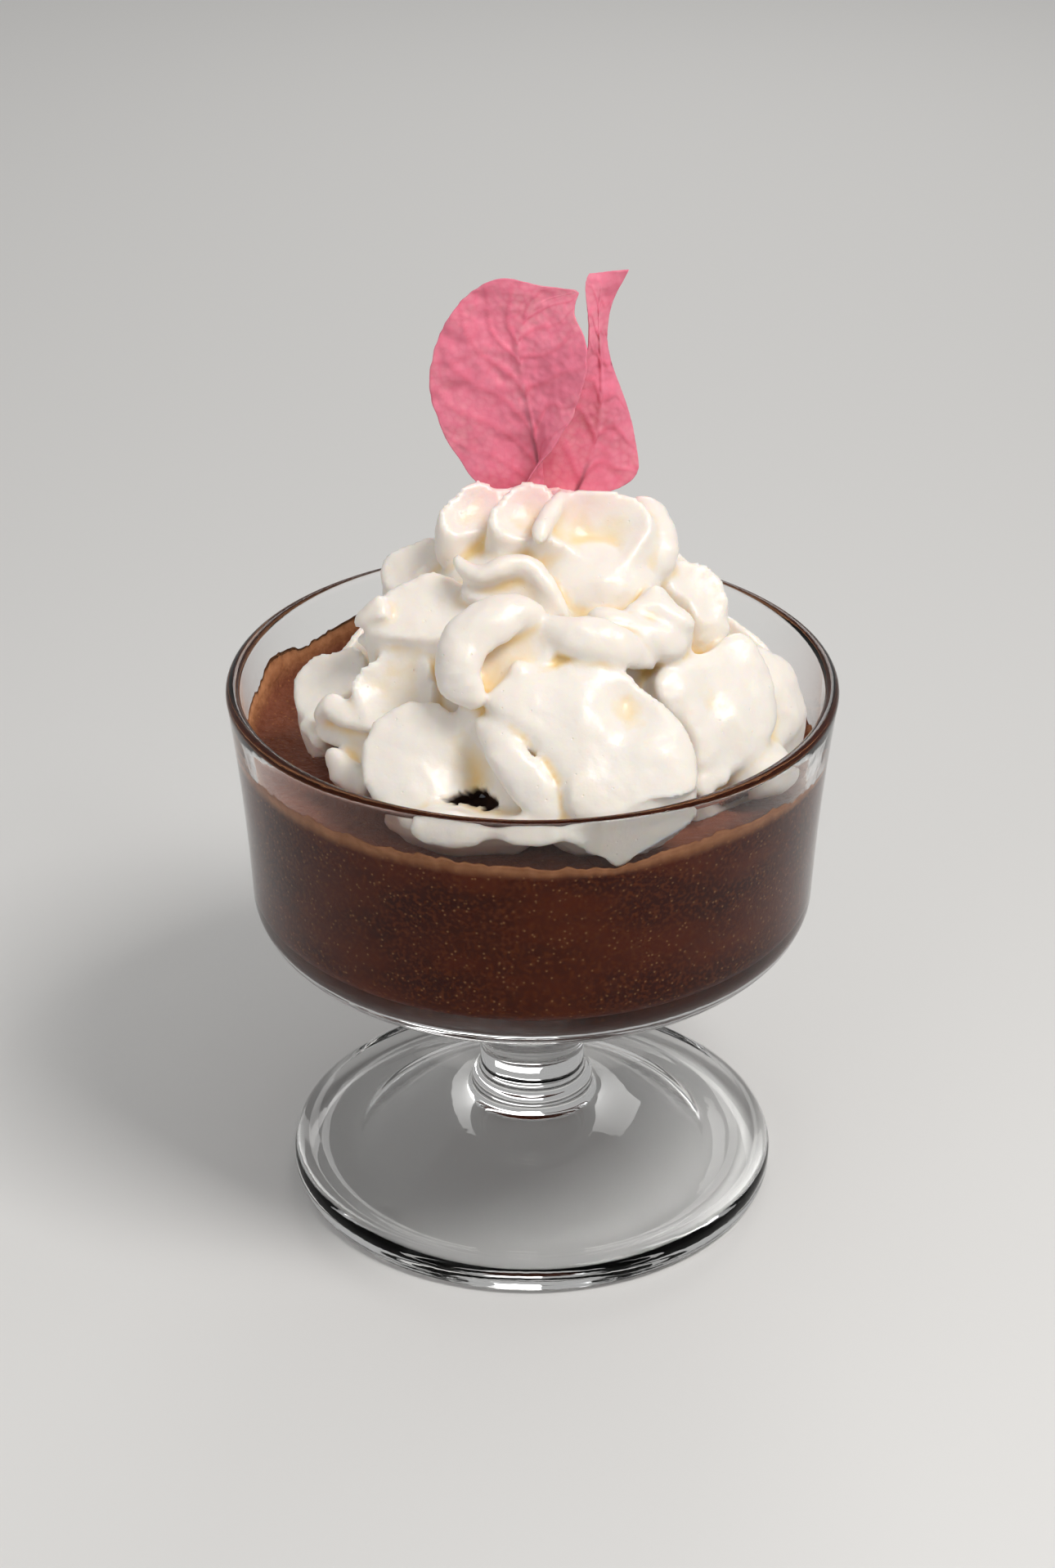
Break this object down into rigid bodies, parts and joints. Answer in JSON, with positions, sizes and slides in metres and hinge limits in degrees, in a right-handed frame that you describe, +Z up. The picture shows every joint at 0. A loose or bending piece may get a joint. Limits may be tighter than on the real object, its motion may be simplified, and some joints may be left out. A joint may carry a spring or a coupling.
{
  "type": "chocolate mousse",
  "caption": "Chocolate mousse in a clear footed glass bowl, under a tall mound of folded whipped cream with papery pink flower bracts standing in its crown.",
  "frame": {"origin": "on the table under the middle of the foot", "axes": "+Z up along the glass's axis; -Y towards the side the dish is looked at from; +X to the right as seen from there"},
  "size_m": [0.1, 0.1, 0.1613],
  "materials": {
    "glass": "clear pressed glass, polished",
    "mousse": "set chocolate mousse, dark and slightly moist",
    "cream": "whipped cream, ivory, soft moist sheen",
    "bract_left": "thin papery bract, rose red, veined",
    "bract_right": "thin papery bract, rose red, veined"
  },
  "bodies": {
    "root": {"glass": "glass", "mousse": "mousse", "cream": "cream", "bract_left": "bract_left", "bract_right": "bract_right"}
  },
  "joints": []
}
